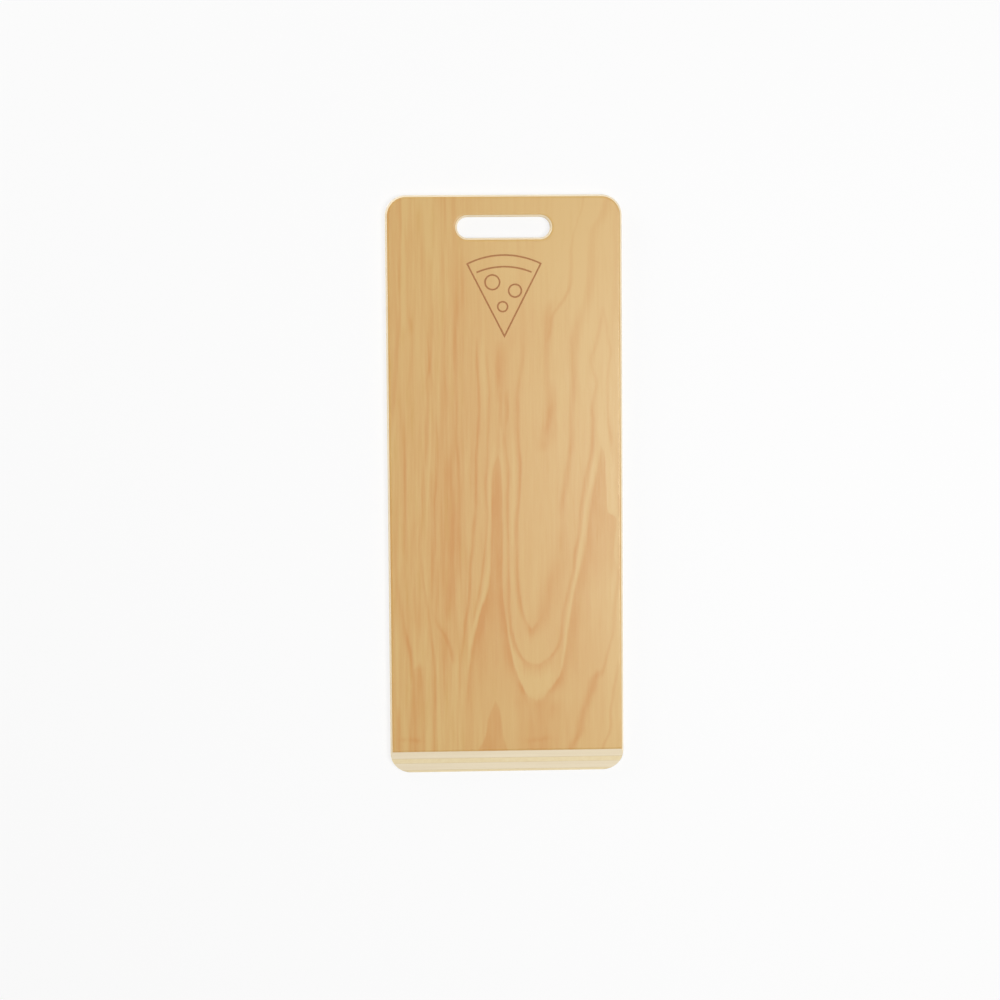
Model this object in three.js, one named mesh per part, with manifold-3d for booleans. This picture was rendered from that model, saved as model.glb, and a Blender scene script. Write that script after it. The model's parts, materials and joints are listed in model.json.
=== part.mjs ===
// A pizza serving board: a veneered plywood panel with rounded corners, a hand slot at one
// end and a long bevel at the other, where the pizza slides on and off.
//
// The board lies on its back face. The origin is the middle of that face, +Z points up out of
// the serving face, +Y runs along the board towards the hand slot, and lengths are millimetres.
// The panel is pressed from veneers, plies and glue films. The outline, the slot, the rounded
// edges and the bevel are machined through the whole stack, so each layer shows at every edge.
import * as THREE from "three";
import { mergeVertices } from "three/addons/utils/BufferGeometryUtils.js";
import Module from "manifold-3d";

const wasm = await Module();
wasm.setup();

// Outline
const BOARD_WIDTH = 250;
const BOARD_LENGTH = 615;
const CORNER_RADIUS = 22;
const EDGE_ROUND = 4; // on both faces, round the outline and the slot

// Hand slot, with round ends
const SLOT_LENGTH = 98.5;
const SLOT_WIDTH = 22;
const SLOT_TO_END = 23; // wood between the slot and the end of the board

// Bevel of the leading end, cut down from the serving face
const BEVEL_LENGTH = 25;
const NOSE_THICKNESS = 4; // left at the tip of the bevel

// Lay-up
const VENEER_THICKNESS = 0.5; // the serving face and the back
const CROSS_PLY_THICKNESS = 2.4; // grain across the board
const LONG_PLY_THICKNESS = 1.6; // grain along the board
const PLY_COUNT = 5; // odd, so that the stack is the same from both faces
const GLUE_THICKNESS = 0.1;

// Engraved mark between the slot and the middle of the board: a plain slice of pizza
const MARK_TO_SLOT = 17.5; // from the slot to the crust
const MARK_LENGTH = 88; // from the crust to the tip
const MARK_HALF_ANGLE = THREE.MathUtils.degToRad(27);
const MARK_STROKE = 1.6;
const MARK_SKIN = 0.2; // veneer left under the strokes
const CRUST_WIDTH = 13;
const CRUST_LINE_GAP = 4; // from each end of the crust line to the slice's sides
// Toppings: distance from the tip, angle from the middle line in degrees, and radius
const TOPPINGS = [
  { reach: 60, angle: -12, radius: 8.5 },
  { reach: 51, angle: 13, radius: 7.5 },
  { reach: 33, angle: -3, radius: 6 },
];

// Facets
const ARC_DIVISIONS = 6; // three.js puts twice as many steps on each arc
const ROUND_STEPS = 4;
const CUT_MARGIN = 5; // how far a cutter stands past what it cuts

// Sizes that follow from those above
const CROSS_PLY_COUNT = Math.ceil(PLY_COUNT / 2);
const LONG_PLY_COUNT = PLY_COUNT - CROSS_PLY_COUNT;
const BOARD_THICKNESS =
  2 * VENEER_THICKNESS +
  CROSS_PLY_COUNT * CROSS_PLY_THICKNESS +
  LONG_PLY_COUNT * LONG_PLY_THICKNESS +
  (PLY_COUNT + 1) * GLUE_THICKNESS;
const HANDLE_END = BOARD_LENGTH / 2;
const LEADING_END = -BOARD_LENGTH / 2;
const SLOT_CENTRE = HANDLE_END - SLOT_TO_END - SLOT_WIDTH / 2;
const MARK_TIP = SLOT_CENTRE - SLOT_WIDTH / 2 - MARK_TO_SLOT - MARK_LENGTH;

const WOODS = {
  veneer: new THREE.MeshStandardMaterial({ color: 0xd9b480, roughness: 0.5, metalness: 0 }),
  crossPly: new THREE.MeshStandardMaterial({ color: 0xebdcbf, roughness: 0.7, metalness: 0 }),
  longPly: new THREE.MeshStandardMaterial({ color: 0xe4d2ab, roughness: 0.75, metalness: 0 }),
};
const GLUE = new THREE.MeshStandardMaterial({ color: 0xc39a63, roughness: 0.45, metalness: 0 });

// A closed geometry as a solid that can be joined and cut.
function solidOf(geometry) {
  const bare = geometry.index ? geometry.toNonIndexed() : geometry.clone();
  bare.deleteAttribute("normal");
  bare.deleteAttribute("uv");
  const merged = mergeVertices(bare);
  const vertProperties = merged.attributes.position.array;
  const triVerts = new Uint32Array(merged.index.array);
  return new wasm.Manifold(new wasm.Mesh({ numProp: 3, vertProperties, triVerts }));
}

// A solid as a geometry with flat faces.
function geometryOf(solid) {
  const { vertProperties, triVerts } = solid.getMesh();
  const indexed = new THREE.BufferGeometry();
  indexed.setAttribute("position", new THREE.BufferAttribute(vertProperties, 3));
  indexed.setIndex(new THREE.BufferAttribute(triVerts, 1));
  const geometry = indexed.toNonIndexed();
  geometry.computeVertexNormals();
  return geometry;
}

// The board's outline: a rectangle with round corners.
function boardOutline() {
  const x = BOARD_WIDTH / 2 - CORNER_RADIUS;
  const y = BOARD_LENGTH / 2 - CORNER_RADIUS;
  const quarter = Math.PI / 2;
  const outline = new THREE.Shape();
  outline.absarc(x, -y, CORNER_RADIUS, -quarter, 0);
  outline.absarc(x, y, CORNER_RADIUS, 0, quarter);
  outline.absarc(-x, y, CORNER_RADIUS, quarter, 2 * quarter);
  outline.absarc(-x, -y, CORNER_RADIUS, 2 * quarter, 3 * quarter);
  outline.closePath();
  return outline;
}

// The hand slot: straight sides and half-round ends.
function slotOutline() {
  const radius = SLOT_WIDTH / 2;
  const x = SLOT_LENGTH / 2 - radius;
  const quarter = Math.PI / 2;
  const slot = new THREE.Path();
  slot.absarc(x, SLOT_CENTRE, radius, -quarter, quarter);
  slot.absarc(-x, SLOT_CENTRE, radius, quarter, 3 * quarter);
  slot.closePath();
  return slot;
}

// The whole panel with its slot, its edges rounded on both faces, before the bevel is cut.
function panelBlank() {
  const outline = boardOutline();
  outline.holes.push(slotOutline());
  const geometry = new THREE.ExtrudeGeometry(outline, {
    depth: BOARD_THICKNESS - 2 * EDGE_ROUND,
    curveSegments: ARC_DIVISIONS,
    bevelEnabled: true,
    bevelThickness: EDGE_ROUND,
    bevelSize: EDGE_ROUND,
    bevelOffset: -EDGE_ROUND,
    bevelSegments: ROUND_STEPS,
  });
  geometry.translate(0, 0, EDGE_ROUND);
  return solidOf(geometry);
}

// What the bevel takes away: a wedge over the leading end, the full width of the board.
function bevelWedge() {
  const slope = (BOARD_THICKNESS - NOSE_THICKNESS) / BEVEL_LENGTH;
  const above = BOARD_THICKNESS + CUT_MARGIN;
  const beyond = LEADING_END - CUT_MARGIN;
  const section = new THREE.Shape();
  section.moveTo(LEADING_END + BEVEL_LENGTH + CUT_MARGIN / slope, above);
  section.lineTo(beyond, above);
  section.lineTo(beyond, NOSE_THICKNESS - CUT_MARGIN * slope);
  section.closePath();
  const width = BOARD_WIDTH + 2 * CUT_MARGIN;
  const geometry = new THREE.ExtrudeGeometry(section, { depth: width, bevelEnabled: false });
  // The section is drawn in (y, z) and drawn out along x.
  const alongX = new THREE.Matrix4().makeBasis(
    new THREE.Vector3(0, 1, 0),
    new THREE.Vector3(0, 0, 1),
    new THREE.Vector3(1, 0, 0),
  );
  geometry.applyMatrix4(alongX);
  geometry.translate(-width / 2, 0, 0);
  return solidOf(geometry);
}

// Everything between two heights, a little larger than the board. Layers that share a height
// get the very same number there, so they meet face to face.
function slab(low, high) {
  const geometry = new THREE.BoxGeometry(BOARD_WIDTH + CUT_MARGIN, BOARD_LENGTH + CUT_MARGIN, 1);
  const corners = geometry.attributes.position;
  for (let i = 0; i < corners.count; i += 1) {
    corners.setZ(i, corners.getZ(i) > 0 ? high : low);
  }
  return solidOf(geometry);
}

// The outline of the slice, drawn in from its edge by an inset: two straight sides from the
// tip and a round crust.
function sliceOutline(inset, PathType) {
  const tip = MARK_TIP + inset / Math.sin(MARK_HALF_ANGLE);
  const reach = MARK_LENGTH - inset;
  const halfAngle = MARK_HALF_ANGLE - Math.asin(inset / reach);
  const slice = new PathType();
  slice.absarc(0, MARK_TIP, reach, Math.PI / 2 - halfAngle, Math.PI / 2 + halfAngle);
  slice.lineTo(0, tip);
  slice.closePath();
  return slice;
}

function sliceStroke() {
  const stroke = sliceOutline(0, THREE.Shape);
  stroke.holes.push(sliceOutline(MARK_STROKE, THREE.Path));
  return stroke;
}

// The line that parts the crust from the filling. Its ends stop short of the slice's sides.
function crustStroke() {
  const outer = MARK_LENGTH - CRUST_WIDTH + MARK_STROKE / 2;
  const inner = outer - MARK_STROKE;
  const halfAngle = MARK_HALF_ANGLE - Math.asin((MARK_STROKE + CRUST_LINE_GAP) / outer);
  const middle = Math.PI / 2;
  const stroke = new THREE.Shape();
  stroke.absarc(0, MARK_TIP, outer, middle - halfAngle, middle + halfAngle);
  stroke.absarc(0, MARK_TIP, inner, middle + halfAngle, middle - halfAngle, true);
  stroke.closePath();
  return stroke;
}

function toppingStroke({ reach, angle, radius }) {
  const turn = THREE.MathUtils.degToRad(angle);
  const x = reach * Math.sin(turn);
  const y = MARK_TIP + reach * Math.cos(turn);
  const stroke = new THREE.Shape();
  stroke.absarc(x, y, radius, 0, 2 * Math.PI);
  const inside = new THREE.Path();
  inside.absarc(x, y, radius - MARK_STROKE, 0, 2 * Math.PI);
  stroke.holes.push(inside);
  return stroke;
}

// The strokes of the mark as solids that are cut out of the face veneer.
function markCutters() {
  const strokes = [sliceStroke(), crustStroke(), ...TOPPINGS.map(toppingStroke)];
  const floor = BOARD_THICKNESS - VENEER_THICKNESS + MARK_SKIN;
  const depth = BOARD_THICKNESS + CUT_MARGIN - floor;
  return strokes.map((stroke) => {
    const cutter = new THREE.ExtrudeGeometry(stroke, {
      depth,
      curveSegments: ARC_DIVISIONS,
      bevelEnabled: false,
    });
    cutter.translate(0, 0, floor);
    return solidOf(cutter);
  });
}

// The layers from the back face up: veneer, glue, then plies and glue by turns, then veneer.
// Plies are numbered from the serving face down. The first has its grain across the board, as
// the veneers' runs along it, and the grain turns by a right angle from each ply to the next.
function layUp() {
  const layers = [];
  let height = 0;
  const lay = (name, thickness, material) => {
    layers.push({ name, low: height, high: height + thickness, material });
    height += thickness;
  };
  lay("back_veneer", VENEER_THICKNESS, WOODS.veneer);
  for (let ply = PLY_COUNT; ply >= 1; ply -= 1) {
    const acrossBoard = ply % 2 === 1;
    lay(`glue_film_${ply + 1}`, GLUE_THICKNESS, GLUE);
    if (acrossBoard) lay(`cross_ply_${ply}`, CROSS_PLY_THICKNESS, WOODS.crossPly);
    else lay(`long_ply_${ply}`, LONG_PLY_THICKNESS, WOODS.longPly);
  }
  lay("glue_film_1", GLUE_THICKNESS, GLUE);
  lay("face_veneer", VENEER_THICKNESS, WOODS.veneer);
  return layers;
}

// Cuts one layer out of the machined panel. The two veneers reach the panel's own faces.
function layerSolid(panel, { name, low, high }) {
  const bottom = name === "back_veneer" ? low - CUT_MARGIN : low;
  const top = name === "face_veneer" ? high + CUT_MARGIN : high;
  const layer = panel.intersect(slab(bottom, top));
  if (name !== "face_veneer") return layer;
  return markCutters().reduce((veneer, cutter) => veneer.subtract(cutter), layer);
}

const board = new THREE.Group();
board.name = "pizza_serving_board";
const panel = panelBlank().subtract(bevelWedge());
for (const layer of layUp()) {
  const mesh = new THREE.Mesh(geometryOf(layerSolid(panel, layer)), layer.material);
  mesh.name = layer.name;
  board.add(mesh);
}

export default board;
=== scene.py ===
"""The looks of a pizza serving board: veneered plywood with a hand slot and a bevelled end.

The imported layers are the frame. Each one is replaced by a finer mesh of the same layer, and gets
a wood or glue material made of shader nodes. Lengths here are millimetres in the board's frame:
x across the board, y along it towards the hand slot, z up out of the serving face. They become
metres where a mesh or a shader reads them.
"""
import json
import math

import bpy
import numpy as np
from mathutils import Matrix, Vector
from mathutils.geometry import delaunay_2d_cdt


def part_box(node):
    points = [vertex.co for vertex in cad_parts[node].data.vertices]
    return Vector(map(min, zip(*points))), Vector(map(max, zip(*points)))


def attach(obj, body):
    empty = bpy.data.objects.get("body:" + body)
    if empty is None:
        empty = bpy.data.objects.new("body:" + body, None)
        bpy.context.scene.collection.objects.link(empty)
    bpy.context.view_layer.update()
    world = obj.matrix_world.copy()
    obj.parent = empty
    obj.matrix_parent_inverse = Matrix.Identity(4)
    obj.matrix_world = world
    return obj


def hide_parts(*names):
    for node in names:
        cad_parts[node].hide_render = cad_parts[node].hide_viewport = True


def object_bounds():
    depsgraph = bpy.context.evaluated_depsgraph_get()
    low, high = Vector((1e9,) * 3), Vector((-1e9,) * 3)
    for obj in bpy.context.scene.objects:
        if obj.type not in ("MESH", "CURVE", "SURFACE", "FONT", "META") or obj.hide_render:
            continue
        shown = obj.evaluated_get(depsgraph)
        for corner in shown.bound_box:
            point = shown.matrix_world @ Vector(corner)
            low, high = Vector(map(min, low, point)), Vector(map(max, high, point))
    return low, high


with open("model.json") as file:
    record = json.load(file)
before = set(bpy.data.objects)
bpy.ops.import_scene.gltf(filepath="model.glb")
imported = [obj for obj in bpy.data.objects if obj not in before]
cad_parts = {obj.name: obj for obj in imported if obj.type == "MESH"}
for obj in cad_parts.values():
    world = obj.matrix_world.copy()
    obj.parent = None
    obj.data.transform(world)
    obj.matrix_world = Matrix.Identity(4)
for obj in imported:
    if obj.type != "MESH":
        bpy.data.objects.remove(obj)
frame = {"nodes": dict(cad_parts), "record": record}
cad_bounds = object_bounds()

MM = 0.001
TINY = 1e-6  # lengths that differ by less count as equal

# The board's size, from the frame
BOARD_LOW, BOARD_HIGH = (corner / MM for corner in cad_bounds)
BOARD_WIDTH, _, BOARD_THICKNESS = BOARD_HIGH - BOARD_LOW
HANDLE_END = BOARD_HIGH.y
LEADING_END = -HANDLE_END

# What was machined into the board
CORNER_RADIUS = 22
EDGE_ROUND = 4
SLOT_LENGTH = 98.5
SLOT_WIDTH = 22
SLOT_TO_END = 23
SLOT_CENTRE = HANDLE_END - SLOT_TO_END - SLOT_WIDTH / 2
BEVEL_LENGTH = 25
NOSE_THICKNESS = 4

# The engraved slice of pizza
MARK_TO_SLOT = 17.5
MARK_LENGTH = 88
MARK_HALF_ANGLE = math.radians(27)
MARK_STROKE = 1.6
MARK_DEPTH = 0.3
MARK_WALL = 0.35
MARK_HALO = 0.5
EDGE_SCORCH = 0.6  # share of the full burn at the grooves' edges
GROOVE_SCORCH = 1.0
CRUST_WIDTH = 13
CRUST_LINE_GAP = 4
TOPPINGS = [(60, -12, 8.5), (51, 13, 7.5), (33, -3, 6)]  # reach from the tip, degrees, radius
MARK_TIP = SLOT_CENTRE - SLOT_WIDTH / 2 - MARK_TO_SLOT - MARK_LENGTH

# How finely round stretches are divided
CORNER_STEPS = 28
SLOT_STEPS = 28
FRONT_STEPS = 16
ROUND_STEPS = 14
LEVEL_STEP = 0.5
MARK_STEP = 0.8
MARK_FEWEST_STEPS = 6
SIDE_RUN = 12  # of the straight sides that shares points with each leading corner
SUPPORT = 0.25  # between the flat faces' edge and the loop that keeps their shading flat
SHARP_ANGLE = math.radians(14)


# Outlines of the board at one height

def inset_at(z):
    """How far the rounded edge stands in from the full outline at height z."""
    from_face = max(0.0, min(z, BOARD_THICKNESS - z))
    if from_face >= EDGE_ROUND:
        return 0.0
    return EDGE_ROUND - math.sqrt(EDGE_ROUND ** 2 - (EDGE_ROUND - from_face) ** 2)


def front_at(z):
    """Where the leading end is at height z: on the bevel, or below it on the rounded nose."""
    slope = (BOARD_THICKNESS - NOSE_THICKNESS) / BEVEL_LENGTH
    bevel = LEADING_END + (z - NOSE_THICKNESS) / slope
    return max(bevel, LEADING_END + inset_at(z))


def arc(centre_x, centre_y, radius, start, end, steps):
    """Points along an arc, with angles in radians."""
    turns = np.linspace(start, end, steps + 1)
    return [(centre_x + radius * math.cos(t), centre_y + radius * math.sin(t)) for t in turns]


def leading_corner(z, shrink):
    """The right leading corner from the bevel's edge to a little way up the straight side."""
    radius = CORNER_RADIUS - inset_at(z) - shrink
    centre_x = BOARD_WIDTH / 2 - CORNER_RADIUS
    centre_y = LEADING_END + CORNER_RADIUS
    start = math.asin(max(-1.0, min(0.0, (front_at(z) + shrink - centre_y) / radius)))
    first = max(centre_y, front_at(z) + shrink)
    bend = -start * radius
    length = bend + centre_y + SIDE_RUN - first
    points = []
    for along in np.linspace(0, length, CORNER_STEPS + 1):
        if along < bend:
            turn = start + along / radius
            points.append((centre_x + radius * math.cos(turn), centre_y + radius * math.sin(turn)))
        else:
            points.append((centre_x + radius, first + along - bend))
    return points


def outline(z, shrink=0.0):
    """The board's outline at height z, anticlockwise from the right end of its leading edge."""
    radius = CORNER_RADIUS - inset_at(z) - shrink
    x = BOARD_WIDTH / 2 - CORNER_RADIUS
    y = HANDLE_END - CORNER_RADIUS
    right = leading_corner(z, shrink)
    left = [(-px, py) for px, py in reversed(right)]
    points = right
    points += arc(x, y, radius, 0, math.pi / 2, CORNER_STEPS)
    points += arc(-x, y, radius, math.pi / 2, math.pi, CORNER_STEPS)
    points += left
    edge = np.linspace(left[-1][0], right[0][0], FRONT_STEPS + 1)[1:-1]
    points += [(px, left[-1][1]) for px in edge]
    return points


def slot_outline(z, grow=0.0):
    """The hand slot's outline at height z, anticlockwise."""
    radius = SLOT_WIDTH / 2 + inset_at(z) + grow
    x = (SLOT_LENGTH - SLOT_WIDTH) / 2
    quarter = math.pi / 2
    points = arc(x, SLOT_CENTRE, radius, -quarter, quarter, SLOT_STEPS)
    points += arc(-x, SLOT_CENTRE, radius, quarter, 3 * quarter, SLOT_STEPS)
    return points


def in_slot(x, y, z):
    """Whether a point at height z lies in the open hand slot."""
    straight = (SLOT_LENGTH - SLOT_WIDTH) / 2
    beyond = max(abs(x) - straight, 0.0)
    return math.hypot(beyond, y - SLOT_CENTRE) < SLOT_WIDTH / 2 + inset_at(z)


# Strokes of the mark. An offset moves each outline out from the stroke, or into it if negative.

def polar(reach, turn):
    """A point at a distance from the slice's tip, turned from its middle line."""
    return (reach * math.sin(turn), MARK_TIP + reach * math.cos(turn))


def steps_for(length):
    """How many steps divide a stretch of the mark."""
    return max(MARK_FEWEST_STEPS, round(length / MARK_STEP))


def along_line(start, end):
    """Points from start up to, but without, end."""
    count = steps_for(math.dist(start, end))
    return [tuple(np.array(start) + (np.array(end) - start) * i / count) for i in range(count)]


def slice_loop(inset):
    """The slice's outline, drawn in by an inset: the crust from right to left, then the sides."""
    reach = MARK_LENGTH - inset
    tip = (0.0, MARK_TIP + inset / math.sin(MARK_HALF_ANGLE))
    half = MARK_HALF_ANGLE - math.asin(inset / reach)
    turns = np.linspace(half, -half, steps_for(2 * half * reach) + 1)
    crust = [polar(reach, turn) for turn in turns]
    return crust[:-1] + along_line(crust[-1], tip) + along_line(tip, crust[0])


def crust_loop(offset):
    """The outline of the line between the crust and the filling."""
    outer = MARK_LENGTH - CRUST_WIDTH + MARK_STROKE / 2 + offset
    inner = outer - MARK_STROKE - 2 * offset
    half = MARK_HALF_ANGLE - math.asin((MARK_STROKE + CRUST_LINE_GAP - offset) / outer)
    turns = np.linspace(half, -half, steps_for(2 * half * outer) + 1)
    return [polar(outer, turn) for turn in turns] + [polar(inner, turn) for turn in reversed(turns)]


def ring_loop(reach, degrees, radius):
    """A circle round the middle of a topping."""
    x, y = polar(reach, math.radians(degrees))
    return arc(x, y, radius, 0, 2 * math.pi, steps_for(2 * math.pi * radius))[:-1]


def stroke_loops(offset):
    """The outlines of all strokes, moved out by an offset."""
    loops = [slice_loop(-offset), slice_loop(MARK_STROKE + offset), crust_loop(offset)]
    for reach, degrees, radius in TOPPINGS:
        loops.append(ring_loop(reach, degrees, radius + offset))
        loops.append(ring_loop(reach, degrees, radius - MARK_STROKE - offset))
    return loops


# Meshes

class Layer:
    """Vertices and faces of one layer of the board."""

    def __init__(self):
        self.points = []
        self.faces = []
        self.scorch = []

    def loop(self, outline_points, z, scorch=0.0):
        """Adds a closed row of points at height z and returns their numbers."""
        first = len(self.points)
        self.points += [(x, y, z) for x, y in outline_points]
        self.scorch += [scorch] * len(outline_points)
        return list(range(first, len(self.points)))

    def wall(self, lower, upper):
        """Joins two rows of points, which run anticlockwise round the wood, with faces."""
        for i, low in enumerate(lower):
            after = (i + 1) % len(lower)
            self.faces.append((low, lower[after], upper[after], upper[i]))

    def cap(self, loops, upward):
        """Fills the flat between rows of points, leaving the hand slot open."""
        numbers = [n for row in loops for n in row]
        z = self.points[numbers[0]][2]
        flat = [Vector(self.points[n][:2]) for n in numbers]
        edges = []
        first = 0
        for row in loops:
            edges += [(first + i, first + (i + 1) % len(row)) for i in range(len(row))]
            first += len(row)
        corners, _, triangles, origins, _, _ = delaunay_2d_cdt(flat, edges, [], 0, TINY)
        for triangle in triangles:
            middle = sum((corners[c] for c in triangle), Vector((0, 0))) / 3
            if in_slot(middle.x, middle.y, z):
                continue
            face = [numbers[origins[c][0]] for c in triangle]
            self.faces.append(tuple(face) if upward else tuple(reversed(face)))

    def build(self, name, material):
        """Makes the Blender object, shaded smooth where the wood is rounded."""
        mesh = bpy.data.meshes.new(name)
        mesh.from_pydata([Vector(p) * MM for p in self.points], [], self.faces)
        mesh.polygons.foreach_set("use_smooth", [True] * len(mesh.polygons))
        mesh.set_sharp_from_angle(angle=SHARP_ANGLE)
        burnt = mesh.attributes.new("scorch", "FLOAT", "POINT")
        burnt.data.foreach_set("value", self.scorch)
        mesh.materials.append(material)
        piece = bpy.data.objects.new(name, mesh)
        bpy.context.scene.collection.objects.link(piece)
        return piece


def levels(low, high):
    """Heights of the rows of points between two faces of a layer, close together on the rounds."""
    turns = np.linspace(0, math.pi / 2, ROUND_STEPS + 1)
    lower_round = [EDGE_ROUND * (1 - math.cos(turn)) for turn in turns]
    heights = lower_round + [BOARD_THICKNESS - z for z in lower_round] + [NOSE_THICKNESS]
    heights += list(np.arange(EDGE_ROUND, BOARD_THICKNESS - EDGE_ROUND, LEVEL_STEP))
    apart = LEVEL_STEP / 10
    inner = sorted(z for z in heights if low + apart < z < high - apart)
    kept = [z for i, z in enumerate(inner) if i == 0 or z - inner[i - 1] > TINY]
    return [low, *kept, high]


def layer_walls(layer, low, high):
    """The outer edge and the slot's wall of a layer. Returns its lowest and highest rows."""
    outer = [layer.loop(outline(z), z) for z in levels(low, high)]
    inner = [layer.loop(slot_outline(z), z) for z in levels(low, high)]
    for below, above in zip(outer, outer[1:]):
        layer.wall(below, above)
    for below, above in zip(inner, inner[1:]):
        layer.wall(above, below)
    return [outer[0], inner[0]], [outer[-1], inner[-1]]


def support_rows(layer, z):
    """Rows just inside the edges of a flat face."""
    return [layer.loop(outline(z, SUPPORT), z), layer.loop(slot_outline(z, SUPPORT), z)]


def mark_rows(layer, z):
    """Rows of the mark's grooves: where the heat faded out, their edges and their floors."""
    rows = [layer.loop(points, z) for points in stroke_loops(MARK_HALO)]
    rows += [layer.loop(points, z, EDGE_SCORCH) for points in stroke_loops(0.0)]
    rows += [layer.loop(points, z - MARK_DEPTH, GROOVE_SCORCH) for points in stroke_loops(-MARK_WALL)]
    return rows


def make_layer(node, material):
    """Replaces one layer of the frame by a finer mesh with its own material."""
    low_corner, high_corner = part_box(node)
    low = low_corner.z / MM
    high = high_corner.z / MM
    layer = Layer()
    bottom, top = layer_walls(layer, low, high)
    if node == "back_veneer":
        bottom = bottom + support_rows(layer, low)
    if node == "face_veneer":
        top = top + support_rows(layer, high) + mark_rows(layer, high)
    layer.cap(bottom, upward=False)
    layer.cap(top, upward=True)
    piece = layer.build(node + "_finished", material)
    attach(piece, "root")
    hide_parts(node)


# Shader nodes, written as arithmetic

# The noise node's values lie round this middle, and the gain spreads them from about -1 to 1
NOISE_MIDDLE = 0.5
NOISE_GAIN = 3


class Scalar:
    """A number that varies over a surface, worked out by shader nodes."""

    def __init__(self, tree, socket):
        self.tree = tree
        self.socket = socket

    def __add__(self, other):
        return maths("ADD", self, other)

    def __sub__(self, other):
        return maths("SUBTRACT", self, other)

    def __mul__(self, other):
        return maths("MULTIPLY", self, other)

    def __truediv__(self, other):
        return maths("DIVIDE", self, other)

    def __radd__(self, other):
        return maths("ADD", other, self)

    def __rmul__(self, other):
        return maths("MULTIPLY", other, self)

    def __neg__(self):
        return maths("MULTIPLY", self, -1)


def put(tree, value, socket):
    """Sets a socket to a plain value, or links it to what works the value out."""
    if isinstance(value, Scalar):
        tree.links.new(value.socket, socket)
    elif isinstance(value, bpy.types.NodeSocket):
        tree.links.new(value, socket)
    else:
        socket.default_value = value


def maths(operation, *terms):
    """One step of arithmetic on scalars and plain numbers."""
    tree = next(term.tree for term in terms if isinstance(term, Scalar))
    node = tree.nodes.new("ShaderNodeMath")
    node.operation = operation
    for term, socket in zip(terms, node.inputs):
        put(tree, term, socket)
    return Scalar(tree, node.outputs[0])


def bell(a):
    """1 where a is 0, falling to nothing as a passes 2 or so either way."""
    return maths("EXPONENT", -(a * a))


def smooth_step(a, start, end):
    """0 before start and 1 after end, with a smooth rise between."""
    node = a.tree.nodes.new("ShaderNodeMapRange")
    node.interpolation_type = "SMOOTHSTEP"
    put(a.tree, a, node.inputs["Value"])
    node.inputs["From Min"].default_value = start
    node.inputs["From Max"].default_value = end
    return Scalar(a.tree, node.outputs["Result"])


def between(share, low, high):
    """low where share is 0, high where it is 1."""
    return low + (high - low) * share


def weighted(base, values, shares):
    """A base value plus the named values, each times its share."""
    total = base
    for name, share in shares.items():
        total = total + values[name] * share
    return total


def curve(a, points):
    """A smooth curve through (a, value) points."""
    node = a.tree.nodes.new("ShaderNodeFloatCurve")
    node.mapping.use_clip = False
    node.mapping.extend = "HORIZONTAL"
    line = node.mapping.curves[0]
    line.points[0].location = points[0]
    line.points[1].location = points[-1]
    for point in points[1:-1]:
        line.points.new(*point)
    node.mapping.update()
    put(a.tree, a, node.inputs["Value"])
    return Scalar(a.tree, node.outputs[0])


class Place:
    """The point of the surface that is shaded, in millimetres in the board's frame."""

    def __init__(self, tree):
        self.tree = tree
        coordinates = tree.nodes.new("ShaderNodeTexCoord")
        scale = tree.nodes.new("ShaderNodeVectorMath")
        scale.operation = "SCALE"
        tree.links.new(coordinates.outputs["Object"], scale.inputs[0])
        scale.inputs["Scale"].default_value = 1 / MM
        self.vector = scale.outputs[0]
        split = tree.nodes.new("ShaderNodeSeparateXYZ")
        tree.links.new(self.vector, split.inputs[0])
        self.x, self.y, _ = (Scalar(tree, socket) for socket in split.outputs)
        geometry = tree.nodes.new("ShaderNodeNewGeometry")
        facing = tree.nodes.new("ShaderNodeSeparateXYZ")
        tree.links.new(geometry.outputs["Normal"], facing.inputs[0])
        self.facing = [Scalar(tree, socket) for socket in facing.outputs]

    def noise(self, size, detail, shift):
        """Soft noise from about -1 to 1, whose lumps have a size in millimetres along x, y and z."""
        scale = self.tree.nodes.new("ShaderNodeVectorMath")
        scale.operation = "MULTIPLY_ADD"
        self.tree.links.new(self.vector, scale.inputs[0])
        scale.inputs[1].default_value = [1 / length for length in size]
        scale.inputs[2].default_value = [shift, shift, shift]
        node = self.tree.nodes.new("ShaderNodeTexNoise")
        self.tree.links.new(scale.outputs[0], node.inputs["Vector"])
        node.inputs["Scale"].default_value = 1
        node.inputs["Detail"].default_value = detail
        return (Scalar(self.tree, node.outputs["Fac"]) - NOISE_MIDDLE) * NOISE_GAIN

    def noises(self, kinds, shift=0, turned=False):
        """The named noises of a material. Turned ones have their fibres across the board."""
        made = {}
        for name, (size, detail, apart) in kinds.items():
            across, along, through = size
            lumps = (along, across, through) if turned else size
            made[name] = self.noise(lumps, detail, shift + apart)
        return made


def attribute(tree, name):
    """A number that the mesh stores at each of its points."""
    node = tree.nodes.new("ShaderNodeAttribute")
    node.attribute_name = name
    return Scalar(tree, node.outputs["Fac"])


def linear(colour):
    """A colour written as on screen, 0 to 255, turned by the sRGB curve into what shaders take."""
    shares = [part / 255 for part in colour]
    return [s / 12.92 if s <= 0.04045 else ((s + 0.055) / 1.055) ** 2.4 for s in shares] + [1.0]


def blend(share, first, second):
    """A colour from first to second. Each is a colour or the socket that works one out."""
    tree = share.tree
    node = tree.nodes.new("ShaderNodeMix")
    node.data_type = "RGBA"
    put(tree, share, node.inputs["Factor"])
    put(tree, first, node.inputs["A"])
    put(tree, second, node.inputs["B"])
    return node.outputs["Result"]


def new_material(name):
    """A new material, its node tree and its principled shader."""
    material = bpy.data.materials.new(name)
    material.use_nodes = True
    tree = material.node_tree
    return material, tree, tree.nodes["Principled BSDF"]


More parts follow.
